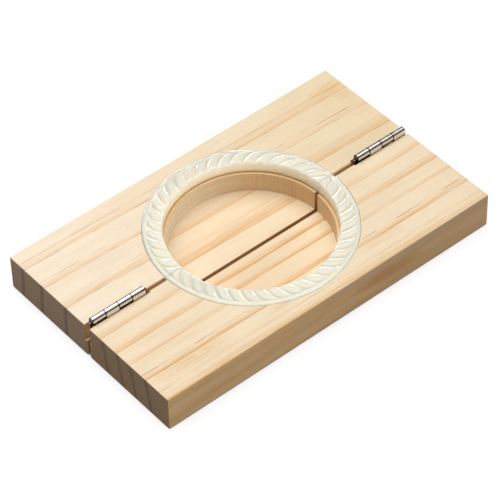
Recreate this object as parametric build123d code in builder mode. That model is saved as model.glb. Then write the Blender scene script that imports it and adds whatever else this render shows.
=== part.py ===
from build123d import *
import os
from math import asin, cos, degrees, radians, sin, tan

# A folding dumpling press of two pine boards, lying open and flat.
# X runs along the fold line, Y from the front board to the back board, Z up.
# The origin is on the underside, in the middle of the fold line.
# Sizes are in millimetres, angles in degrees.

# Boards
board_length = 160.0
board_width = 47.0
board_thickness = 16.0
board_gap = 1.6
corner_round = 0.8
edge_round = 0.4

# Round pocket, and the step above it that takes the crimping ring
ledge_width = 1.1
pocket_depth = 13.5
rebate_depth = 4.5

# Crimping ring: a flat rim outside, a band of slanted lobes inside
ring_radius = 42.0
rim_width = 1.7
rim_rise = 0.5
lobe_band_width = 6.2
ring_inner_round = 1.0
ring_clearance = 0.2
ring_end_overhang = 0.55

# Lobes: rounded strands side by side, leaning further the further out they run
lobe_width = 5.2
lobe_round = 2.6
lobe_rise = 1.0
lobe_lean = 34.0
lobe_turn = 24.0
lobe_overrun = 8.0
lobe_bed_drop = 0.4
trim_spare = 0.3

# Hinges: two butt hinges, their barrels standing on the fold line
hinge_length = 25.0
left_hinge_margin = 2.2
right_hinge_margin = 1.2
knuckles_per_hinge = 4
knuckle_gap = 0.15
barrel_radius = 1.45
barrel_height = 1.6
leaf_thickness = 0.75
leaf_depth = 9.5
leaf_corner_round = 0.6
knuckle_clearance = 0.5
leaf_seat_clearance = 0.2
pin_clearance = 0.05
pin_recess = 0.2
seam_width = 0.12

# Mortises that take the leaves
mortise_overrun = 1.8
mortise_end_clearance = 0.6

# Countersunk screws, two in each leaf
screw_spacing = 14.0
screw_depth_below_axis = 5.9
screw_length = 9.0
screw_shank_radius = 0.95
screw_tip_length = 2.2
screw_hole_clearance = 0.05
pilot_hole_spare = 0.5
cross_width = 0.45
cross_length = 2.1
cross_depth = 0.4
countersink_angle = 90.0

# Places that follow from the sizes
board_edge = board_gap / 2
rebate_radius = ring_radius + ring_clearance
lobe_band_radius = ring_radius - rim_width
lobe_mid_radius = lobe_band_radius - lobe_band_width / 2
ring_inner_radius = lobe_band_radius - lobe_band_width
pocket_radius = ring_inner_radius - ledge_width
ring_bottom = board_thickness - rebate_depth
rim_top = board_thickness + rim_rise
lobe_top = board_thickness + lobe_rise
trim_top = lobe_top + trim_spare
ring_end = board_edge - ring_end_overhang

axis_height = board_thickness + barrel_height
knuckle_pitch = hinge_length / knuckles_per_hinge
bore_radius = barrel_radius - leaf_thickness
pin_radius = bore_radius - pin_clearance
cutout_depth = barrel_radius + knuckle_clearance
leaf_inner_face = barrel_radius - leaf_thickness
mortise_wall = barrel_radius + leaf_seat_clearance
mortise_bottom = axis_height - leaf_depth - mortise_end_clearance
left_hinge_start = -board_length / 2 + left_hinge_margin
right_hinge_start = board_length / 2 - right_hinge_margin - hinge_length
screw_head_flare = leaf_thickness * tan(radians(countersink_angle / 2))
screw_head_radius = screw_shank_radius + screw_head_flare
screw_height = axis_height - screw_depth_below_axis

BACK = 1
FRONT = -1


def screw_places(hinge_start):
    """Where the screws of one hinge stand along the fold line."""
    middle = hinge_start + hinge_length / 2
    return [middle - screw_spacing / 2, middle + screw_spacing / 2]


def export_piece(builder, label):
    """Name a finished piece and write it to its own file."""
    builder.part.label = label
    export_step(builder.part, f"parts/{label}.step")


os.makedirs("parts", exist_ok=True)

# Back board: a plank with half of the pocket, half of the step and two mortises
with BuildPart() as back_board:
    with BuildSketch():
        with Locations((0, board_edge)):
            Rectangle(board_length, board_width, align=(Align.CENTER, Align.MIN))
    extrude(amount=board_thickness)
    uprights = back_board.edges().filter_by(Axis.Z)
    fillet(uprights.group_by(Axis.Y)[0], radius=corner_round)
    fillet(uprights.group_by(Axis.Y)[-1], radius=edge_round)
    rims = back_board.faces().filter_by(Axis.Z).edges()
    fillet(rims, radius=edge_round)

    with BuildSketch(Plane.XY.offset(board_thickness)):
        Circle(pocket_radius)
    extrude(amount=-pocket_depth, mode=Mode.SUBTRACT)
    with BuildSketch(Plane.XY.offset(board_thickness)):
        Circle(rebate_radius)
    extrude(amount=-rebate_depth, mode=Mode.SUBTRACT)

    # Each mortise runs out of the board's end and stops a little past its hinge
    for outer_end, inner_end in (
        (-board_length / 2, left_hinge_start + hinge_length + mortise_overrun),
        (board_length / 2, right_hinge_start - mortise_overrun),
    ):
        with BuildSketch(Plane.XY.offset(mortise_bottom)):
            with Locations(((outer_end + inner_end) / 2, 0)):
                Rectangle(abs(outer_end - inner_end), 2 * mortise_wall)
        extrude(amount=axis_height - mortise_bottom, mode=Mode.SUBTRACT)

    for hinge_start in (left_hinge_start, right_hinge_start):
        for place in screw_places(hinge_start):
            pilot = Plane(origin=(place, leaf_inner_face, screw_height), z_dir=(0, 1, 0))
            with BuildSketch(pilot):
                Circle(screw_shank_radius + screw_hole_clearance)
            extrude(amount=screw_length + pilot_hole_spare, mode=Mode.SUBTRACT)
export_piece(back_board, "back_board")

# Front board: the mirror image of the back board
with BuildPart() as front_board:
    mirror(back_board.part, about=Plane.XZ)
export_piece(front_board, "front_board")

# Back half ring: a bed, a rim, and strands laid across the bed
span = 180.0 - 2 * degrees(asin(ring_end / lobe_mid_radius))
lobe_count = round(radians(span) * lobe_mid_radius / lobe_width)
lobe_pitch = span / lobe_count
lean_start = radians(lobe_lean - lobe_turn / 2)
lean_end = radians(lobe_lean + lobe_turn / 2)
lobe_curve_radius = lobe_band_width / (sin(lean_end) - sin(lean_start))
sweep_angle = lobe_turn + 2 * lobe_overrun
lobe_axis_height = lobe_top - lobe_round

with BuildPart() as back_ring:
    with BuildSketch(Plane.XY.offset(ring_bottom)):
        Circle(ring_radius)
        Circle(ring_inner_radius, mode=Mode.SUBTRACT)
    extrude(amount=rebate_depth - lobe_bed_drop)
    with BuildSketch(Plane.XY.offset(ring_bottom)):
        Circle(ring_radius)
        Circle(lobe_band_radius, mode=Mode.SUBTRACT)
    extrude(amount=rim_top - ring_bottom)

    for number in range(lobe_count + 1):
        around = radians(90.0 + (number - lobe_count / 2) * lobe_pitch)
        heading = around - radians(lobe_lean)
        sideways = Vector(sin(heading), -cos(heading), 0)
        middle = Vector(cos(around), sin(around), 0) * lobe_mid_radius
        turning_point = middle + sideways * lobe_curve_radius + Vector(0, 0, lobe_axis_height)
        outward = (-sideways).rotate(Axis.Z, sweep_angle / 2)
        with BuildSketch(
            Plane(
                origin=turning_point + outward * lobe_curve_radius,
                x_dir=outward,
                z_dir=outward.rotate(Axis.Z, -90),
            )
        ):
            Circle(lobe_round)
        revolve(axis=Axis(turning_point, (0, 0, -1)), revolution_arc=sweep_angle)

    # The strands are trimmed to the ring's own section, with a rounded inner edge
    with BuildSketch(Plane.XZ):
        with BuildLine():
            Polyline(
                (ring_inner_radius, ring_bottom),
                (ring_radius, ring_bottom),
                (ring_radius, rim_top),
                (lobe_band_radius, rim_top),
                (lobe_band_radius, trim_top),
                (ring_inner_radius + ring_inner_round, trim_top),
            )
            RadiusArc(
                (ring_inner_radius + ring_inner_round, trim_top),
                (ring_inner_radius, trim_top - ring_inner_round),
                -ring_inner_round,
            )
            Line(
                (ring_inner_radius, trim_top - ring_inner_round),
                (ring_inner_radius, ring_bottom),
            )
        make_face()
    revolve(axis=Axis.Z, revolution_arc=360, mode=Mode.INTERSECT)
    split(bisect_by=Plane.XZ.offset(-ring_end), keep=Keep.BOTTOM)
export_piece(back_ring, "back_crimp_ring")

# Front half ring: the other hand of the same moulding
with BuildPart() as front_ring:
    mirror(back_ring.part, about=Plane.XZ)
export_piece(front_ring, "front_crimp_ring")


def hinge_leaf(hinge_start, side, first_knuckle):
    """One leaf: a plate down its mortise, every other knuckle rolled from its edge."""
    plate_middle = side * (barrel_radius - leaf_thickness / 2)
    with BuildPart() as leaf:
        with BuildSketch(Plane.YZ.offset(hinge_start)):
            with Locations((plate_middle, axis_height - leaf_depth)):
                Rectangle(
                    leaf_thickness,
                    leaf_depth - cutout_depth,
                    align=(Align.CENTER, Align.MIN),
                )
        extrude(amount=hinge_length)
        lower_corners = leaf.edges().filter_by(Axis.Y).group_by(Axis.Z)[0]
        fillet(lower_corners, radius=leaf_corner_round)

        for number in range(first_knuckle, knuckles_per_hinge, 2):
            knuckle_start = hinge_start + number * knuckle_pitch + knuckle_gap / 2
            with BuildSketch(Plane.YZ.offset(knuckle_start)):
                with Locations((0, axis_height)):
                    Circle(barrel_radius)
                with Locations((plate_middle, axis_height)):
                    Rectangle(
                        leaf_thickness,
                        cutout_depth,
                        align=(Align.CENTER, Align.MAX),
                    )
                with Locations((0, axis_height)):
                    Circle(bore_radius, mode=Mode.SUBTRACT)
                # The rolled end stops just short of the plate
                with Locations((side * (leaf_inner_face - seam_width / 2), axis_height)):
                    Rectangle(
                        seam_width,
                        barrel_radius,
                        align=(Align.CENTER, Align.MAX),
                        mode=Mode.SUBTRACT,
                    )
            extrude(amount=knuckle_pitch - knuckle_gap)

        for place in screw_places(hinge_start):
            inner_face = Plane(
                origin=(place, side * leaf_inner_face, screw_height),
                z_dir=(0, -side, 0),
            )
            with Locations(inner_face):
                CounterSinkHole(
                    radius=screw_shank_radius + screw_hole_clearance,
                    counter_sink_radius=screw_head_radius + screw_hole_clearance,
                    depth=leaf_thickness,
                    counter_sink_angle=countersink_angle,
                )
    return leaf


def hinge_pin(hinge_start):
    """The pin through all the knuckles, its ends a little inside the barrel."""
    with BuildPart() as pin:
        with BuildSketch(Plane.YZ.offset(hinge_start + pin_recess)):
            with Locations((0, axis_height)):
                Circle(pin_radius)
        extrude(amount=hinge_length - 2 * pin_recess)
    return pin


def leaf_screws(hinge_start, side):
    """The two cross-head screws of one leaf, heads level with its inner face."""
    with BuildPart() as screws:
        for place in screw_places(hinge_start):
            head_middle = (place, side * leaf_inner_face, screw_height)
            with BuildSketch(Plane(origin=head_middle, x_dir=(0, side, 0), z_dir=(0, 0, 1))):
                with BuildLine():
                    Polyline(
                        (0, 0),
                        (0, screw_head_radius),
                        (leaf_thickness, screw_shank_radius),
                        (screw_length - screw_tip_length, screw_shank_radius),
                        (screw_length, 0),
                        close=True,
                    )
                make_face()
            revolve(axis=Axis(head_middle, (0, side, 0)), revolution_arc=360)
            with BuildSketch(Plane(origin=head_middle, z_dir=(0, -side, 0))):
                Rectangle(cross_length, cross_width)
                Rectangle(cross_width, cross_length)
            extrude(amount=-cross_depth, mode=Mode.SUBTRACT)
    return screws


# The back leaves have the first knuckle of each hinge, the front leaves the second
for hand, hinge_start in (("left", left_hinge_start), ("right", right_hinge_start)):
    for name, side, first_knuckle in (("back", BACK, 0), ("front", FRONT, 1)):
        export_piece(hinge_leaf(hinge_start, side, first_knuckle), f"{hand}_hinge_{name}_leaf")
        export_piece(leaf_screws(hinge_start, side), f"{hand}_hinge_{name}_screws")
    export_piece(hinge_pin(hinge_start), f"{hand}_hinge_pin")
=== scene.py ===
import math

import bmesh
import bpy
import numpy as np
from mathutils import Matrix, Vector


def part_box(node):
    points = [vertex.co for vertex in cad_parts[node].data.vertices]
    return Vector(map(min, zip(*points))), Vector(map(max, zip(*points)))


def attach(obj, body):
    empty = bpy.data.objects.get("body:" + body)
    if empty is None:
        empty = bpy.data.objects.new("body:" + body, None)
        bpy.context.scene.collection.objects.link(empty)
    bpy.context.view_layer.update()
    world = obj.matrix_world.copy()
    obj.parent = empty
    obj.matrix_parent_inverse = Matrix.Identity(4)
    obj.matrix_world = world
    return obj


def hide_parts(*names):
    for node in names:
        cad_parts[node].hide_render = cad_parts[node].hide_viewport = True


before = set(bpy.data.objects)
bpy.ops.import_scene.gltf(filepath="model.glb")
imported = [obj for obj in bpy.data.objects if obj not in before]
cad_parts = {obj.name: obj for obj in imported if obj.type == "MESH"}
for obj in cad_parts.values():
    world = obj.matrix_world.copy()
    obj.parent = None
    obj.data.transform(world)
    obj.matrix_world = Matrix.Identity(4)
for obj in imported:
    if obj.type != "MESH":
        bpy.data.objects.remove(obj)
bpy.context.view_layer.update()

# A folding dumpling press of two pine boards. Lengths are in millimetres and become
# metres when a mesh is stored. X runs along the fold line, Y from the front board to
# the back board, Z up, and zero is on the underside in the middle of the fold line.
MM = 0.001


def node_box(name):
    """A CAD node's lowest and highest corners in millimetres, to a thousandth."""
    return [[round(place / MM, 3) for place in corner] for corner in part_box(name)]


# Boards
board_low, board_high = node_box("back_board")
BOARD_LENGTH = board_high[0] - board_low[0]
BOARD_TOP = board_high[2]
SLOT_FACE = board_low[1]
POCKET_RADIUS = 33.0
POCKET_FLOOR = 2.5
REBATE_RADIUS = 42.2

# Crimping ring. Lean, hook and spacing are in degrees.
ring_low, ring_high = node_box("back_crimp_ring")
RING_RADIUS = ring_high[1]
RING_END = ring_low[1]
RING_BOTTOM = ring_low[2]
RING_INNER_RADIUS = 34.1
RIM_START = 40.9
RIM_TOP = 16.5
RIM_LIP = 0.16
LIP_START = 41.3
WALL_MIDDLE = 14.0
LOBE_COUNT = 22
LOBE_SPACING = 8.147
LOBE_TOP = 17.0
LOBE_BAND_RADIUS = 40.3
LOBE_MID_RADIUS = 37.2
LOBE_LEAN = 34.0
LOBE_CURVE = 17.99
LOBE_HOOK = 1.0
HOOK_START = 38.6
LOBE_FULLNESS = 2.6
INNER_ROUND = 0.9
OUTER_ROUND = 0.8
OUTER_FALL = 0.5
STATIONS_PER_LOBE = 28
# The furrow's depth by radius, and the radius from which it closes towards the rim
FURROW_RADII = [34.1, 35.2, 36.6, 38.4, 39.8]
FURROW_DEPTHS = [0.75, 0.72, 0.75, 0.85, 0.95]
FURROW_CLOSES = 39.9
# The rim's rounded edge, as distances in from the ring's outside and down from its top
RIM_EDGE = [(0.65, 0.03), (0.35, 0.13), (0.14, 0.28), (0.03, 0.42)]

# Hinges, each with four knuckles over the length of its leaves
left_leaf, right_leaf = (node_box(f"{hand}_hinge_back_leaf") for hand in ("left", "right"))
LEFT_HINGE_START = left_leaf[0][0]
RIGHT_HINGE_START = right_leaf[0][0]
KNUCKLE_PITCH = (left_leaf[1][0] - left_leaf[0][0]) / 4


# Surfaces

def store_surface(name, points, faces, finish, body, nodes):
    """Put points (millimetres) and faces into one mesh, merge its doubles, drop the
    faces that close up on themselves, turn all faces outwards, and let it stand for
    the given nodes on the given body."""
    mesh = bpy.data.meshes.new(name)
    mesh.from_pydata((points * MM).tolist(), [], faces.tolist())
    work = bmesh.new()
    work.from_mesh(mesh)
    bmesh.ops.remove_doubles(work, verts=work.verts, dist=0.002 * MM)
    bmesh.ops.dissolve_degenerate(work, edges=work.edges, dist=0.001 * MM)
    bmesh.ops.recalc_face_normals(work, faces=work.faces)
    work.to_mesh(mesh)
    work.free()
    mesh.shade_smooth()
    mesh.materials.append(finish)
    piece = bpy.data.objects.new(name, mesh)
    bpy.context.scene.collection.objects.link(piece)
    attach(piece, body)
    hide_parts(*nodes)
    return piece


def grid_faces(rows, columns, first=0):
    """Four-sided faces between neighbours on a grid of rows by columns points, whose
    first point has the given number."""
    corner = first + np.arange(rows - 1)[:, None] * columns + np.arange(columns - 1)
    corner = corner.ravel()
    return np.stack([corner, corner + 1, corner + columns + 1, corner + columns], axis=1)


def lobe_lead(radius):
    """Angle by which a lobe leads or lags at a radius. Its middle line is a circle about
    a point beside the ring, so the angle comes from the triangle of the ring's middle,
    that point and the place on the line (law of cosines). Near the rim it hooks round,
    by an angle that grows with the square of the distance past the hook's start."""
    lean = math.radians(LOBE_LEAN)
    turn_x = LOBE_MID_RADIUS - LOBE_CURVE * math.sin(lean)
    turn_y = -LOBE_CURVE * math.cos(lean)
    reach = math.hypot(turn_x, turn_y)
    cosine = (radius ** 2 + reach ** 2 - LOBE_CURVE ** 2) / (2 * radius * reach)
    hook = np.clip((radius - HOOK_START) / (LOBE_BAND_RADIUS - HOOK_START), 0, 1) ** 2
    return math.atan2(turn_y, turn_x) + np.arccos(cosine) - math.radians(LOBE_HOOK) * hook


def crown_height(radius):
    """Height of a lobe's crown: level, with a quarter round down to the inner wall and a
    shallower one down to the rim."""
    inner = np.clip((RING_INNER_RADIUS + INNER_ROUND - radius) / INNER_ROUND, 0, 1)
    outer = np.clip((radius - LOBE_BAND_RADIUS + OUTER_ROUND) / OUTER_ROUND, 0, 1)
    return (LOBE_TOP - INNER_ROUND * (1 - np.sqrt(1 - inner ** 2))
            - OUTER_FALL * (1 - np.sqrt(1 - outer ** 2)))


def furrow_depth(radius):
    """Depth of the furrow between two lobes, shallow at the inner wall, deepest near the
    rim, and closed by a small round at the rim."""
    depth = np.interp(radius, FURROW_RADII, FURROW_DEPTHS)
    close = np.clip((radius - FURROW_CLOSES) / (LOBE_BAND_RADIUS - FURROW_CLOSES), 0, 1)
    return depth * np.sqrt(1 - close ** 2)


def ring_section():
    """Radii and heights of the ring's section through a lobe's crown, and the stretch of
    it that is lobed. It runs up the inner wall, over the lobed band, which starts with
    a quarter round, over the flat rim and down the outer wall."""
    inner_wall = [(RING_INNER_RADIUS, z) for z in (RING_BOTTOM, RING_BOTTOM + 0.8,
                                                   WALL_MIDDLE)]
    band = RING_INNER_RADIUS + np.concatenate([
        INNER_ROUND * (1 - np.cos(np.linspace(0, math.pi / 2, 12))),
        np.linspace(INNER_ROUND, LOBE_BAND_RADIUS - RING_INNER_RADIUS, 25)[1:]])
    rim = [(LOBE_BAND_RADIUS + 0.15, RIM_TOP - 0.02), (RIM_START, RIM_TOP)]
    rim += [(RING_RADIUS - inward, RIM_TOP - down) for inward, down in RIM_EDGE]
    outer_wall = [(RING_RADIUS, z) for z in (BOARD_TOP + 0.02, BOARD_TOP - 0.4,
                                             RING_BOTTOM + 2.0, RING_BOTTOM)]
    before, after = np.array(inner_wall).T, np.array(rim + outer_wall).T
    radii = np.concatenate([before[0], band, after[0]])
    heights = np.concatenate([before[1], crown_height(band), after[1]])
    return radii, heights, slice(len(inner_wall), len(inner_wall) + len(band))


def crimp_ring(name, side, finish, body, node):
    """Half of the crimping ring, as a grid of steps over the section by stations round
    the pocket. Across a lobe the top is its crown less the furrow's depth times the
    distance from the lobe's middle line to a power, so lobes are full and furrows
    narrow. Stations follow the middle lines and stop at the ring's end plane. The rim's
    lip widens the ring by the square of the sine of the angle, so that it reaches a
    little over the board at front and back. Side is 1 for the back half and -1 for the
    front."""
    radii, heights, lobed = ring_section()
    lead = lobe_lead(radii)
    spacing = math.radians(LOBE_SPACING)
    first = math.radians(90.0 - LOBE_COUNT / 2 * LOBE_SPACING)
    spare = np.abs(lead).max() + math.radians(2)
    stations = np.linspace(first - spare, math.pi - first + spare,
                           int((LOBE_COUNT + 2 * spare / spacing) * STATIONS_PER_LOBE))
    end = np.arcsin(RING_END / radii)
    angle = np.clip(stations[None, :] + lead[:, None], end[:, None], math.pi - end[:, None])
    lobes = (angle - lead[:, None] - first) / spacing
    off_middle = 2 * np.abs(lobes - np.round(lobes))

    z = np.repeat(heights[:, None], len(stations), axis=1)
    z[lobed] -= furrow_depth(radii[lobed])[:, None] * off_middle[lobed] ** LOBE_FULLNESS
    lip = np.interp(radii, [LIP_START, RING_RADIUS - RIM_EDGE[-1][0]], [0, RIM_LIP])
    lip = lip * (heights > WALL_MIDDLE)
    wide = radii[:, None] + lip[:, None] * np.sin(angle) ** 2
    skin = np.stack([wide * np.cos(angle), side * wide * np.sin(angle), z], axis=2)

    # The section closes on itself along the underside
    skin = np.concatenate([skin, skin[:1]])
    rows, columns = skin.shape[:2]
    points = [skin.reshape(-1, 3)]
    faces = [grid_faces(rows, columns)]
    # Each end is closed by a strip from the section's top down to the ring's underside
    for strip, column in enumerate((0, columns - 1)):
        upper = skin[:-1, column]
        lower = upper.copy()
        lower[:, 2] = RING_BOTTOM
        points.append(np.concatenate([upper, lower]))
        faces.append(grid_faces(2, rows - 1, rows * columns + strip * 2 * (rows - 1)))
    return store_surface(name, np.concatenate(points), np.concatenate(faces), finish,
                         body, [node])


# Finishes. Their patterns follow each piece's own place in millimetres.

def add_node(tree, kind, inputs=None, **settings):
    """A shader node of one kind. Inputs are numbers or other nodes' outputs."""
    made = tree.nodes.new("ShaderNode" + kind)
    for key, value in settings.items():
        setattr(made, key, value)
    for key, value in (inputs or {}).items():
        if isinstance(value, bpy.types.NodeSocket):
            tree.links.new(value, made.inputs[key])
        else:
            made.inputs[key].default_value = value
    return made


def calc(tree, operation, *values, clamp=False):
    """The result of one sum on one to three values."""
    made = add_node(tree, "Math", dict(enumerate(values)), operation=operation)
    made.use_clamp = clamp
    return made.outputs[0]


def ramp(tree, value, stops):
    """A grey or colour by position, from (position, colour) stops. The positions are all
    set before the colours, because the ramp sorts its stops."""
    made = add_node(tree, "ValToRGB", {"Fac": value})
    elements = made.color_ramp.elements
    while len(elements) < len(stops):
        elements.new(1.0)
    for element, (position, _) in zip(elements, stops):
        element.position = position
    for element, (_, colour) in zip(elements, stops):
        element.color = (colour,) * 3 + (1,) if isinstance(colour, float) else (*colour, 1)
    return made.outputs["Color"]


def noise(tree, vector, detail=3.0, roughness=0.5):
    """Cloudy noise from about 0.3 to 0.7, one cloud to each unit of the place given."""
    return add_node(tree, "TexNoise", {"Vector": vector, "Scale": 1.0, "Detail": detail,
                                       "Roughness": roughness}).outputs["Fac"]


def stretched(tree, vector, x, y, z):
    """The place on the piece, with each direction scaled by its own number."""
    return add_node(tree, "VectorMath", {0: vector, 1: (x, y, z)},
                    operation="MULTIPLY").outputs[0]


def split(tree, vector):
    """The three parts of a place or a direction."""
    return add_node(tree, "SeparateXYZ", {0: vector}).outputs


def mix(tree, factor, a, b, blend="MIX"):
    """Two colours or greys, mixed by a factor."""
    made = add_node(tree, "Mix", data_type="RGBA", blend_type=blend)
    for place, value in ((0, factor), (6, a), (7, b)):
        if isinstance(value, bpy.types.NodeSocket):
            tree.links.new(value, made.inputs[place])
        elif place == 0:
            made.inputs[0].default_value = value
        else:
            made.inputs[place].default_value = (*value, 1)
    return made.outputs[2]


def tinted(tree, colour, tint, share=1.0):
    """A colour times a tint, or a share of the way there."""
    return mix(tree, share, colour, tint, "MULTIPLY")


def shade(red, green, blue):
    """A colour written as screen values 0 to 255, turned into the scene's linear light."""
    screen = np.array([red, green, blue]) / 255
    low = screen / 12.92
    high = ((screen + 0.055) / 1.055) ** 2.4
    return tuple(float(c) for c in np.where(screen <= 0.04045, low, high))


def new_finish(name):
    """A material with its node tree and its surface shader."""
    finish = bpy.data.materials.new(name)
    finish.use_nodes = True
    tree = finish.node_tree
    return finish, tree, tree.nodes["Principled BSDF"]


def place_in_mm(tree):
    """The place on the piece in millimetres."""
    spot = add_node(tree, "TexCoord").outputs["Object"]
    return stretched(tree, spot, 1 / MM, 1 / MM, 1 / MM)


def radius_at(tree, spot):
    """Distance from the upright line through the pocket's middle."""
    return add_node(tree, "VectorMath", {0: stretched(tree, spot, 1, 1, 0)},
                    operation="LENGTH").outputs["Value"]


def length_share(tree, along):
    """0 at the board's left end and 1 at its right end."""
    return calc(tree, "MULTIPLY_ADD", along, 1 / BOARD_LENGTH, 0.5, clamp=True)


# The ramps of a board's figure run from the fold line to this distance, which is a
# little past the board's outer edge.
FIGURE_WIDTH = 50.0


def figure_stops(marks):
    """Ramp stops in order, from marks that are a distance from the fold line and a tone."""
    return [(place / FIGURE_WIDTH, tone) for place, tone in sorted(marks)]


def late_wood_stops(lines, sharp_side):
    """Ramp stops over the board's width for bands of dark late wood. Each band is a
    place, a width over which it fades in, and a depth, and ends sharply on one side."""
    marks = []
    for place, fade, depth in lines:
        near = [(0.35, 0.0), (0.0, depth), (-0.35 * fade, 0.6 * depth), (-fade, 0.0)]
        marks += [(place + sharp_side * off, tone) for off, tone in near]
    return figure_stops(marks)


def thread_stops(lines):
    """Ramp stops for thin dark threads, each a place and a depth."""
    marks = []
    for place, depth in lines:
        marks += [(place - 0.2, 0.0), (place - 0.05, depth), (place + 0.05, depth),
                  (place + 0.2, 0.0)]
    return figure_stops(marks)


def soft_line_stops(places):
    """Ramp stops for the soft dark lines that the rings make on the sawn ends."""
    marks = []
    for place in places:
        marks += [(place - 1.3, 0.0), (place - 0.3, 1.0), (place + 0.4, 1.0),
                  (place + 1.8, 0.0)]
    return figure_stops(marks)


def ring_position(tree, spot, along, across, height, figure):
    """Distance over the board, measured across the rings. The rings run a little askew,
    lean over towards the underside and wander slightly."""
    drift = noise(tree, stretched(tree, spot, 0.011, 0.05, 0.05), detail=1.0)
    ripple = noise(tree, stretched(tree, spot, 0.045, 0.25, 0.2), detail=2.0)
    rings = calc(tree, "MULTIPLY_ADD", along, figure["slope"], across)
    depth = calc(tree, "SUBTRACT", BOARD_TOP, height)
    rings = calc(tree, "MULTIPLY_ADD", depth, figure["lean"], rings)
    rings = calc(tree, "ADD", rings, calc(tree, "MULTIPLY_ADD", drift, 0.9, -0.45))
    rings = calc(tree, "ADD", rings, calc(tree, "MULTIPLY_ADD", ripple, 0.7, -0.35))
    return calc(tree, "DIVIDE", rings, FIGURE_WIDTH)


def blush(tree, along, across, centre, reach):
    """A soft oval patch, 1 in the middle and 0 from its edge outwards."""
    parts = []
    for value, middle, size in zip((along, across), centre, reach):
        off = calc(tree, "MULTIPLY_ADD", value, 1 / size, -middle / size)
        parts.append(calc(tree, "POWER", calc(tree, "ABSOLUTE", off), 2.0))
    return calc(tree, "SUBTRACT", 1.0, calc(tree, "ADD", *parts), clamp=True)


def early_wood(tree, spot, along, on_floor, figure):
    """The pale wood between the bands. It changes slowly along the board and in clouds, and on
    the pocket's floor it is a little darker to the left and lighter to the right, painted light
    that lifts the shade near the pocket's right wall."""
    length = length_share(tree, along)
    cloud = noise(tree, stretched(tree, spot, 0.03, 0.14, 0.1), detail=3.0)
    early = mix(tree, length, *figure["early"])
    early = tinted(tree, early, ramp(tree, cloud, [(0.3, (0.95, 0.92, 0.88)),
                                                   (0.6, (1.0, 1.0, 1.0))]))
    # Painted light: the pocket's floor is lifted towards its right wall, where the wall's shade
    # falls.
    floor_painted_light = ramp(tree, length, [(0.3, (0.975, 0.965, 0.96)),
                                      (0.5, (0.985, 0.96, 0.925)),
                                      (0.7, (1.05, 1.06, 1.04))])
    return tinted(tree, early, floor_painted_light, on_floor)


def late_wood(tree, spot, along, across, rings, on_floor, figure):
    """How much late wood shows: bands that end sharply on one side, others on the
    pocket's floor, and a few swirls, all broken up by streaks along the board."""
    late = ramp(tree, rings, late_wood_stops(figure["bands"], figure["sharp_side"]))
    floor = ramp(tree, rings, late_wood_stops(figure["floor_bands"], figure["sharp_side"]))
    late = mix(tree, on_floor, late, floor)
    swirl = noise(tree, stretched(tree, spot, 0.10, 0.9, 0.3), detail=3.0, roughness=0.6)
    swirl = ramp(tree, swirl, [(0.36, 0.0), (0.5, 0.9), (0.58, 0.25), (0.7, 0.7)])
    for centre, reach, depth in figure["swirls"]:
        patch = calc(tree, "MULTIPLY", blush(tree, along, across, centre, reach), depth)
        late = calc(tree, "MULTIPLY_ADD", patch, swirl, late)
    streaks = noise(tree, stretched(tree, spot, 0.035, 1.3, 1.3), detail=4.0, roughness=0.65)
    streaks = ramp(tree, streaks, [(0.32, 0.25), (0.5, 0.95), (0.62, 1.25), (0.75, 1.45)])
    late = calc(tree, "MULTIPLY_ADD", late, 0.9, 0.05)
    return calc(tree, "MULTIPLY", late, streaks, clamp=True)


def threads(tree, spot, rings, on_floor, figure):
    """How much of the dark threads shows. They come and go along the board, and are
    faint on the pocket's floor."""
    here = noise(tree, stretched(tree, spot, 0.10, 0.35, 0.3), detail=2.0)
    here = calc(tree, "MULTIPLY_ADD", here, 6.0, -2.75, clamp=True)
    thread = ramp(tree, rings, thread_stops(figure["threads"]))
    thread = calc(tree, "MULTIPLY", thread, calc(tree, "MULTIPLY", here, 1.3))
    return calc(tree, "MULTIPLY", thread, calc(tree, "MULTIPLY_ADD", on_floor, -0.8, 1.0))


def face_wood(tree, spot, along, across, height, rings, figure):
    """Colour of the planed faces: early wood, bands of late wood, dark threads, and a few
    stray dark fibres."""
    on_floor = calc(tree, "LESS_THAN", height, POCKET_FLOOR + 0.2)
    early = early_wood(tree, spot, along, on_floor, figure)
    late = late_wood(tree, spot, along, across, rings, on_floor, figure)
    wood = mix(tree, late, early, shade(224, 174, 112))
    thread = threads(tree, spot, rings, on_floor, figure)
    wood = mix(tree, thread, wood, shade(150, 108, 70))
    stray = noise(tree, stretched(tree, spot, 0.13, 3.0, 3.0), detail=1.0)
    stray = calc(tree, "MULTIPLY_ADD", stray, 9.0, -6.6, clamp=True)
    return mix(tree, calc(tree, "MULTIPLY", stray, 0.45), wood, shade(176, 130, 86))


def pocket_wall_wood(tree, spot, along, facing_y, wood):
    """Colour of the pocket's turned wall. It is lighter to the left and darker to the right,
    painted light and shade for light falling from the right, and its upright stripes are
    strongest to the right. It has level streaks where it faces the fold line."""
    # Painted light and shade: the wall's tone runs from light on the left to dark on the right.
    left_to_right = calc(tree, "MULTIPLY_ADD", along, 0.5 / POCKET_RADIUS, 0.5, clamp=True)
    tone = ramp(tree, left_to_right, [(0.0, shade(255, 243, 222)), (0.5, shade(255, 240, 210)),
                                      (1.0, shade(214, 174, 122))])
    tone = mix(tree, 0.25, tone, wood)
    upright = noise(tree, stretched(tree, spot, 1.1, 1.1, 0.05), detail=3.0)
    upright = ramp(tree, upright, [(0.3, 0.9), (0.6, 1.04)])
    tone = tinted(tree, tone, upright, calc(tree, "MULTIPLY_ADD", left_to_right, 0.5, 0.05))
    level = noise(tree, stretched(tree, spot, 0.05, 0.05, 1.1), detail=3.0)
    level = ramp(tree, level, [(0.35, (0.88, 0.84, 0.78)), (0.55, (1.0, 1.0, 1.0))])
    return tinted(tree, tone, level, calc(tree, "MULTIPLY", facing_y, 0.8))


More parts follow.
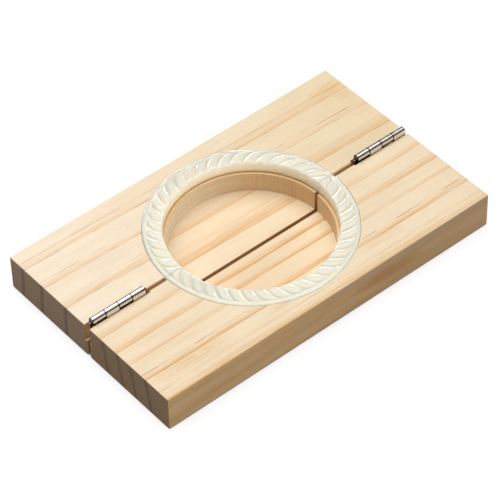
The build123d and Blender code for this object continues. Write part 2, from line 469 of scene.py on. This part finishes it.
def edge_wood(tree, spot, along, height, figure):
    """Colour of the long narrow faces, where the saw ran along a ring: orange brown with
    long pale streaks, a greyer strip along part of the top and one darker flame."""
    streaks = noise(tree, stretched(tree, spot, 0.018, 0.3, 0.3), detail=4.0, roughness=0.6)
    wood = ramp(tree, streaks, [(0.3, shade(226, 176, 115)), (0.5, shade(238, 192, 135)),
                                (0.68, shade(244, 205, 153))])
    wander = calc(tree, "MULTIPLY_ADD", streaks, 3.0, -1.5)
    strip_foot = calc(tree, "MULTIPLY_ADD", along, -0.004 * figure["side"], 12.0)
    strip = calc(tree, "SUBTRACT", calc(tree, "ADD", height, wander), strip_foot)
    strip = calc(tree, "MULTIPLY", strip, 1.2, clamp=True)
    begin = calc(tree, "MULTIPLY_ADD", along, -0.08 * figure["side"], 0.6, clamp=True)
    strip = calc(tree, "MULTIPLY", strip, begin)
    wood = mix(tree, calc(tree, "MULTIPLY", strip, 0.75), wood, shade(224, 190, 152))
    middle, low = figure["flame"]
    flame_lean = 0.8
    leaning = calc(tree, "MULTIPLY_ADD", height, flame_lean, along)
    flame = blush(tree, leaning, height, (middle + flame_lean * low, low), (19.0, 3.2))
    flame = calc(tree, "MULTIPLY", calc(tree, "POWER", flame, 0.7), 0.75)
    wood = mix(tree, flame, wood, shade(214, 150, 86))
    return tinted(tree, wood, ramp(tree, length_share(tree, along), [(0.3, 0.95), (0.8, 0.78)]))


def slot_wood_and_shade(tree, height, fibre):
    """Colour of the faces in the slot between the boards, with painted shade: darker towards
    the slot's bottom and lighter towards the top.
    """
    tone = ramp(tree, calc(tree, "MULTIPLY", height, 1 / BOARD_TOP),
                [(0.15, shade(212, 158, 100)), (0.7, shade(226, 178, 122)),
                 (0.97, shade(246, 212, 162))])
    return tinted(tree, tone, ramp(tree, fibre, [(0.3, 0.82), (0.6, 1.04)]))


def end_wood(tree, spot, rings, figure):
    """Colour of the sawn ends: duller, with soft upright ring lines and open pores."""
    pores = noise(tree, stretched(tree, spot, 1.0, 1.3, 1.0), detail=4.0, roughness=0.7)
    wood = mix(tree, ramp(tree, rings, soft_line_stops(figure["end_lines"])),
               *figure["end_tones"])
    return tinted(tree, wood, ramp(tree, pores, [(0.3, 0.72), (0.5, 1.0), (0.75, 1.12)]), 0.8)


def pine(name, figure):
    """Bare pine, sawn so that its rings stand nearly upright and run along the board.
    Faces, the pocket's wall, long edges, slot, ledge and sawn ends each show the wood in their
    way, told apart by the direction they face and their place. The pocket's wall, the slot and
    the ledge also carry painted light and shade."""
    finish, tree, surface = new_finish(name)
    spot = place_in_mm(tree)
    along, y, height = split(tree, spot)
    across = calc(tree, "MULTIPLY", y, float(figure["side"]))
    rings = ring_position(tree, spot, along, across, height, figure)
    fibre = noise(tree, stretched(tree, spot, 0.06, 2.2, 2.2), detail=5.0, roughness=0.6)
    fine = noise(tree, stretched(tree, spot, 0.35, 9.0, 9.0), detail=2.0)
    turned = split(tree, add_node(tree, "TexCoord").outputs["Normal"])
    facing = [calc(tree, "POWER", calc(tree, "ABSOLUTE", part), 2.0) for part in turned]
    radius = radius_at(tree, spot)
    outside = calc(tree, "GREATER_THAN", radius, REBATE_RADIUS + 0.3)

    wood = face_wood(tree, spot, along, across, height, rings, figure)
    wall = calc(tree, "MULTIPLY", calc(tree, "SUBTRACT", 1.0, facing[2]),
                calc(tree, "SUBTRACT", 1.0, outside))
    wood = mix(tree, wall, wood, pocket_wall_wood(tree, spot, along, facing[1], wood))
    wood = mix(tree, calc(tree, "MULTIPLY", facing[1], outside), wood,
               edge_wood(tree, spot, along, height, figure))
    # The slot's faces take pine with painted shade that deepens towards the slot's bottom.
    slot = calc(tree, "MULTIPLY", facing[1], calc(tree, "LESS_THAN", across, SLOT_FACE + 0.7))
    wood = mix(tree, slot, wood, slot_wood_and_shade(tree, height, fibre))
    # The ledge under the ring's inner wall is painted a light orange: painted light standing in
    # for light that passes through the translucent ring onto it.
    ledge = calc(tree, "LESS_THAN", radius, RING_INNER_RADIUS + 0.5)
    ledge = calc(tree, "MULTIPLY", ledge,
                 calc(tree, "GREATER_THAN", height, RING_BOTTOM - 1.5))
    wood = mix(tree, calc(tree, "MULTIPLY", ledge, facing[2]), wood, shade(240, 206, 160))
    wood = mix(tree, calc(tree, "MULTIPLY", facing[0], outside), wood,
               end_wood(tree, spot, rings, figure))
    wood = tinted(tree, wood, ramp(tree, fibre, [(0.28, 0.88), (0.5, 1.0), (0.75, 1.03)]), 0.6)
    wood = tinted(tree, wood, ramp(tree, fine, [(0.3, 0.88), (0.55, 1.0), (0.8, 1.04)]), 0.5)

    tree.links.new(wood, surface.inputs["Base Color"])
    rough = calc(tree, "MULTIPLY_ADD", fibre, 0.2, 0.45)
    tree.links.new(rough, surface.inputs["Roughness"])
    surface.inputs["Specular IOR Level"].default_value = 0.3
    relief = calc(tree, "MULTIPLY_ADD", fibre, 0.6, calc(tree, "MULTIPLY", fine, 0.4))
    bump = add_node(tree, "Bump", {"Strength": 0.25, "Distance": 0.05 * MM, "Height": relief})
    tree.links.new(bump.outputs[0], surface.inputs["Normal"])
    return finish


def milky_plastic():
    """Milky, slightly translucent moulded plastic. Light goes a few millimetres into it. Its
    colour by height is partly painted light: towards its foot a painted warm glow of the wood
    it stands in, seen through it, and higher up a bluish white that offsets the warm light
    bounced from the wood."""
    finish, tree, surface = new_finish("milky_plastic")
    spot = place_in_mm(tree)
    height = split(tree, spot)[2]
    full = LOBE_TOP - RING_BOTTOM
    rise = calc(tree, "MULTIPLY_ADD", height, 1 / full, -RING_BOTTOM / full)
    # Colour by height, partly painted light: painted warm amber of the wood seen through the
    # foot, a bluish white higher up that offsets warm bounce light from the wood, and a warmer
    # cream at the furrows' floors as painted warm light from beneath.
    depth = ramp(tree, rise, [(0.0, shade(215, 158, 88)), (0.04, shade(247, 210, 145)),
                              (0.14, shade(252, 228, 182)), (0.27, shade(250, 228, 190)),
                              (0.36, shade(252, 233, 205)), (0.55, shade(239, 231, 216)),
                              (0.64, shade(233, 232, 225)), (0.73, shade(229, 232, 226)),
                              (0.80, shade(227, 228, 217)), (0.84, shade(235, 225, 200)),
                              (0.96, shade(220, 218, 204))])
    rim = calc(tree, "MULTIPLY_ADD", radius_at(tree, spot), 2.0, -2.0 * LOBE_BAND_RADIUS,
               clamp=True)
    above_board = calc(tree, "GREATER_THAN", height, BOARD_TOP - 0.1)
    depth = mix(tree, calc(tree, "MULTIPLY", rim, above_board), depth, shade(232, 227, 208))
    cloud = noise(tree, stretched(tree, spot, 0.16, 0.16, 0.16), detail=2.0)
    tint = ramp(tree, cloud, [(0.35, (0.975, 0.98, 0.985)), (0.65, (1.0, 0.98, 0.96))])
    tree.links.new(tinted(tree, depth, tint), surface.inputs["Base Color"])
    surface.inputs["Subsurface Weight"].default_value = 1.0
    surface.inputs["Subsurface Radius"].default_value = (1.0, 0.85, 0.65)
    surface.inputs["Subsurface Scale"].default_value = 5 * MM
    grain = noise(tree, stretched(tree, spot, 1.2, 1.2, 1.2), detail=2.0)
    tree.links.new(calc(tree, "MULTIPLY_ADD", grain, 0.08, 0.12), surface.inputs["Roughness"])
    bump = add_node(tree, "Bump", {"Strength": 0.04, "Distance": 0.05 * MM, "Height": grain})
    tree.links.new(bump.outputs[0], surface.inputs["Normal"])
    return finish


def knuckle_gap_shade(tree, spot):
    """1 on the lines where two knuckles of a hinge meet, where painted shade stands for the
    shade in the gap between them, and 0 elsewhere.
    """
    along, _, height = split(tree, spot)
    on_right = calc(tree, "GREATER_THAN", along, 0.0)
    start = calc(tree, "MULTIPLY_ADD", on_right, RIGHT_HINGE_START - LEFT_HINGE_START,
                 LEFT_HINGE_START)
    off_joint = calc(tree, "PINGPONG", calc(tree, "SUBTRACT", along, start),
                     KNUCKLE_PITCH / 2)
    joint = ramp(tree, off_joint, [(0.14, 1.0), (0.32, 0.0)])
    return calc(tree, "MULTIPLY", joint, calc(tree, "GREATER_THAN", height, BOARD_TOP))


def bright_metal(name, colour, roughness, lines, knuckles=False):
    """Plated or drawn steel, with faint lines along the fold and a few dull clouds. The hinges'
    knuckles get painted shade where they meet, for the shade in the gaps between them."""
    finish, tree, surface = new_finish(name)
    spot = place_in_mm(tree)
    drawn = noise(tree, stretched(tree, spot, 0.4, 14.0, 14.0), detail=2.0)
    cloud = noise(tree, stretched(tree, spot, 0.5, 0.8, 0.8), detail=3.0)
    tone = ramp(tree, cloud, [(0.3, tuple(c * 0.93 for c in colour)), (0.6, colour)])
    if knuckles:
        # Painted shade on the lines where the knuckles meet.
        tone = mix(tree, knuckle_gap_shade(tree, spot), tone, (0.06, 0.055, 0.05))
    tree.links.new(tone, surface.inputs["Base Color"])
    surface.inputs["Metallic"].default_value = 1.0
    tree.links.new(calc(tree, "MULTIPLY_ADD", cloud, 0.12, roughness),
                   surface.inputs["Roughness"])
    bump = add_node(tree, "Bump", {"Strength": lines, "Distance": 0.02 * MM, "Height": drawn})
    tree.links.new(bump.outputs[0], surface.inputs["Normal"])
    return finish


def dress(finish, *names):
    """Give carried-over nodes their finish."""
    for name in names:
        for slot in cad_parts[name].material_slots:
            slot.material = finish


# Stage. Its places and sizes are in metres.

def white_floor():
    """A white floor under the press. Only its shading by the press is seen on it, and its glow
    is cut by ambient occlusion, painted shade that makes it go dark in the narrow slot between
    the boards. Seen from below it is clear, as it is for light that bounces up from right under
    the press."""
    size, drop = 6.0, 0.0001
    mesh = bpy.data.meshes.new("floor")
    mesh.from_pydata([(-size, -size, -drop), (size, -size, -drop), (size, size, -drop),
                      (-size, size, -drop)], [], [(0, 1, 2, 3)])
    floor = bpy.data.objects.new("floor", mesh)
    bpy.context.scene.collection.objects.link(floor)

    finish = bpy.data.materials.new("white_floor")
    finish.use_nodes = True
    tree = finish.node_tree
    tree.nodes.clear()
    rays = add_node(tree, "LightPath").outputs
    paper = add_node(tree, "BsdfDiffuse", {"Color": (0.36, 0.36, 0.36, 1)})
    seen = calc(tree, "MAXIMUM", rays["Is Camera Ray"],
                calc(tree, "MAXIMUM", rays["Is Glossy Ray"], rays["Is Transmission Ray"]))
    # Painted shade: the glow is cut where ambient occlusion is strong, as in the slot between
    # the boards.
    open_sky = add_node(tree, "AmbientOcclusion", {"Distance": 0.02}).outputs["AO"]
    open_sky = calc(tree, "MULTIPLY_ADD", open_sky, 7.0, -2.5, clamp=True)
    seen = calc(tree, "MULTIPLY", seen, open_sky)
    spot = add_node(tree, "TexCoord").outputs["Object"]
    away = add_node(tree, "VectorMath", {0: spot}, operation="LENGTH").outputs["Value"]
    away = ramp(tree, calc(tree, "MULTIPLY", away, 1 / size),
                [(0.1, 0.74), (0.3, 0.86), (0.6, 0.98)])
    glow = add_node(tree, "Emission", {"Color": (1, 1, 1, 1),
                                       "Strength": calc(tree, "MULTIPLY", seen, away)})
    white = add_node(tree, "AddShader", {0: paper.outputs[0], 1: glow.outputs[0]})
    clear = add_node(tree, "BsdfTransparent")
    touching = calc(tree, "LESS_THAN", rays["Ray Length"], 3 * drop)
    touching = calc(tree, "MULTIPLY", rays["Is Diffuse Ray"], touching)
    under = add_node(tree, "NewGeometry").outputs["Backfacing"]
    hidden = calc(tree, "MAXIMUM", under, touching)
    both = add_node(tree, "MixShader", {0: hidden, 1: white.outputs[0], 2: clear.outputs[0]})
    out = add_node(tree, "OutputMaterial")
    tree.links.new(both.outputs[0], out.inputs["Surface"])
    mesh.materials.append(finish)


def studio_world():
    """Grey surroundings, a little lighter overhead and below, and white where the camera
    sees them."""
    world = bpy.data.worlds.new("studio")
    bpy.context.scene.world = world
    world.use_nodes = True
    tree = world.node_tree
    up = split(tree, add_node(tree, "TexCoord").outputs["Generated"])[2]
    tone = ramp(tree, calc(tree, "MULTIPLY_ADD", up, 0.5, 0.5),
                [(0.0, 0.45), (0.45, 0.2), (0.55, 0.10), (0.8, 0.14), (1.0, 0.3)])
    rays = add_node(tree, "LightPath").outputs
    tone = mix(tree, rays["Is Camera Ray"], tone, (1.0, 1.0, 1.0))
    tree.links.new(tone, tree.nodes["Background"].inputs["Color"])
    tree.nodes["Background"].inputs["Strength"].default_value = 1.0


def soft_lamp(name, place, target, width, depth, power):
    """A rectangular soft box at a place, turned to a target."""
    lamp = bpy.data.lights.new(name, "AREA")
    lamp.shape = "RECTANGLE"
    lamp.size, lamp.size_y, lamp.energy = width, depth, power
    holder = bpy.data.objects.new(name, lamp)
    bpy.context.scene.collection.objects.link(holder)
    holder.location = place
    towards = Vector(target) - Vector(place)
    holder.rotation_euler = towards.to_track_quat("-Z", "Y").to_euler()
    return holder


def light_only(lamp, *names):
    """Keep a lamp's light to the named pieces."""
    lit = bpy.data.collections.new(lamp.name + "_lights")
    for name in names:
        lit.objects.link(bpy.data.objects[name])
    lamp.light_linking.receiver_collection = lit


def studio_lamps():
    """A large soft box over the press, a smaller one for its front, and a strip and a
    fill that light only the crimping ring, the strip for the glints on its lobes."""
    ring_halves = ("back_crimping_lobes", "front_crimping_lobes")
    soft_lamp("key_softbox", (-0.06, 0.36, 1.2), (-0.06, 0.36, 0), 1.6, 1.5, 19.0)
    strip = soft_lamp("ring_strip", (0.75, 1.3, 0.32), (0, 0, 0.015), 3.0, 0.14, 44.0)
    strip.visible_diffuse = False
    light_only(strip, *ring_halves)
    ring_fill = soft_lamp("ring_fill", (0.1, -1.1, 0.2), (0, 0, 0.015), 0.7, 0.35, 5.0)
    ring_fill.visible_glossy = False
    light_only(ring_fill, *ring_halves)
    fill = soft_lamp("fill_softbox", (0.55, -1.0, 0.4), (0, 0, 0.01), 0.7, 0.5, 2.9)
    fill.visible_glossy = False


# The camera fitted to the boards' corners in the photo, which is 500 pixels wide.
# Angles are in degrees, the focal length is in pixels, and lengths are in units of
# which the board's length has 200.
PHOTO_WIDTH = 500
CAMERA_AZIMUTH, CAMERA_ELEVATION, CAMERA_ROLL = -39.19, 46.01, 1.44
CAMERA_DISTANCE = 1309.9
CAMERA_SHIFT = (0.59, -11.66)
CAMERA_FOCAL = 2731.6
FIT_UNIT = BOARD_LENGTH / 200


def photo_camera():
    """The photo's camera, placed by its distance back from the middle of the fold line
    at the boards' tops, and by its shift to the right and down."""
    azimuth, elevation, roll = (math.radians(angle) for angle in
                                (CAMERA_AZIMUTH, CAMERA_ELEVATION, CAMERA_ROLL))
    back = Vector((math.sin(azimuth) * math.cos(elevation),
                   -math.cos(azimuth) * math.cos(elevation), math.sin(elevation)))
    right = (-back).cross(Vector((0, 0, 1))).normalized()
    down = (-back).cross(right)
    right, down = (math.cos(roll) * right + math.sin(roll) * down,
                   -math.sin(roll) * right + math.cos(roll) * down)
    place = back * CAMERA_DISTANCE - right * CAMERA_SHIFT[0] - down * CAMERA_SHIFT[1]
    place = place * FIT_UNIT + Vector((0, 0, BOARD_TOP))
    camera = bpy.data.cameras.new("photo_camera")
    camera.sensor_width = 36.0
    camera.lens = CAMERA_FOCAL / PHOTO_WIDTH * camera.sensor_width
    camera.clip_end = 50.0
    holder = bpy.data.objects.new("photo_camera", camera)
    bpy.context.scene.collection.objects.link(holder)
    turn = Matrix((right, -down, back)).transposed().to_4x4()
    holder.matrix_world = Matrix.Translation(place * MM) @ turn
    bpy.context.scene.camera = holder


# The boards' figure. Places are distances from the fold line on the top face, in the
# middle of the board's length, and swirls and flames also have a place along it.
BACK_FIGURE = {
    "side": 1, "sharp_side": -1, "slope": 0.024, "lean": -0.06,
    "early": (shade(252, 236, 213), shade(237, 216, 180)),
    "bands": [(10.5, 5.8, 0.62), (14.8, 1.0, 0.18), (24.2, 2.8, 0.52), (27.2, 0.9, 0.2),
              (36.6, 3.0, 0.6), (40.0, 1.6, 0.35)],
    "floor_bands": [(9.4, 9.0, 0.8), (15.5, 2.0, 0.3), (23.8, 3.2, 0.7)],
    "threads": [(10.5, 0.4), (14.7, 0.2), (24.2, 0.4), (27.25, 0.7), (36.6, 0.5),
                (40.1, 0.35)],
    "swirls": [((72.0, 39.0), (11.0, 4.5), 0.75), ((76.0, 32.0), (4.0, 2.5), 0.5)],
    "end_lines": [10.9, 25.6, 37.6],
    "end_tones": (shade(150, 118, 84), shade(110, 76, 44)),
    "flame": (-35.0, 7.0),
}
FRONT_FIGURE = {
    "side": -1, "sharp_side": 1, "slope": -0.0095, "lean": -0.16,
    "early": (shade(245, 225, 194), shade(242, 223, 192)),
    "bands": [(8.7, 3.2, 0.6), (18.4, 3.6, 0.85), (26.1, 2.2, 0.58), (33.2, 0.8, 0.35),
              (35.9, 2.6, 0.95), (43.3, 1.4, 0.35), (48.6, 4.2, 0.95)],
    "floor_bands": [(4.0, 3.4, 1.1), (10.6, 2.6, 1.1), (20.3, 3.0, 1.1)],
    "threads": [(8.9, 0.2), (18.4, 0.15), (33.3, 0.6), (35.8, 0.3), (43.4, 0.25)],
    "swirls": [((-62.0, 37.8), (20.0, 3.6), 0.85), ((-16.0, 39.6), (9.0, 1.6), 0.5),
               ((34.0, 38.6), (15.0, 2.4), 0.5), ((30.0, 46.5), (60.0, 3.0), 0.25)],
    "end_lines": [9.8, 18.8, 26.4, 35.4],
    "end_tones": (shade(138, 104, 60), shade(102, 66, 30)),
    "flame": (27.0, 8.4),
}

back_pine = pine("pine_back", BACK_FIGURE)
front_pine = pine("pine_front", FRONT_FIGURE)
nickel = bright_metal("nickel_plate", (0.80, 0.77, 0.71), 0.12, 0.05, knuckles=True)
wire = bright_metal("pin_steel", (0.62, 0.61, 0.59), 0.28, 0.3)
zinc = bright_metal("screw_steel", (0.70, 0.69, 0.66), 0.24, 0.3)
plastic = milky_plastic()

dress(back_pine, "back_board")
dress(front_pine, "front_board")
for hand in ("left", "right"):
    dress(nickel, f"{hand}_hinge_back_leaf", f"{hand}_hinge_front_leaf")
    dress(zinc, f"{hand}_hinge_back_screws", f"{hand}_hinge_front_screws")
    dress(wire, f"{hand}_hinge_pin")

crimp_ring("back_crimping_lobes", 1, plastic, "back_half", "back_crimp_ring")
crimp_ring("front_crimping_lobes", -1, plastic, "front_half", "front_crimp_ring")

white_floor()
studio_world()
studio_lamps()
photo_camera()
bpy.context.scene.view_settings.view_transform = "Standard"
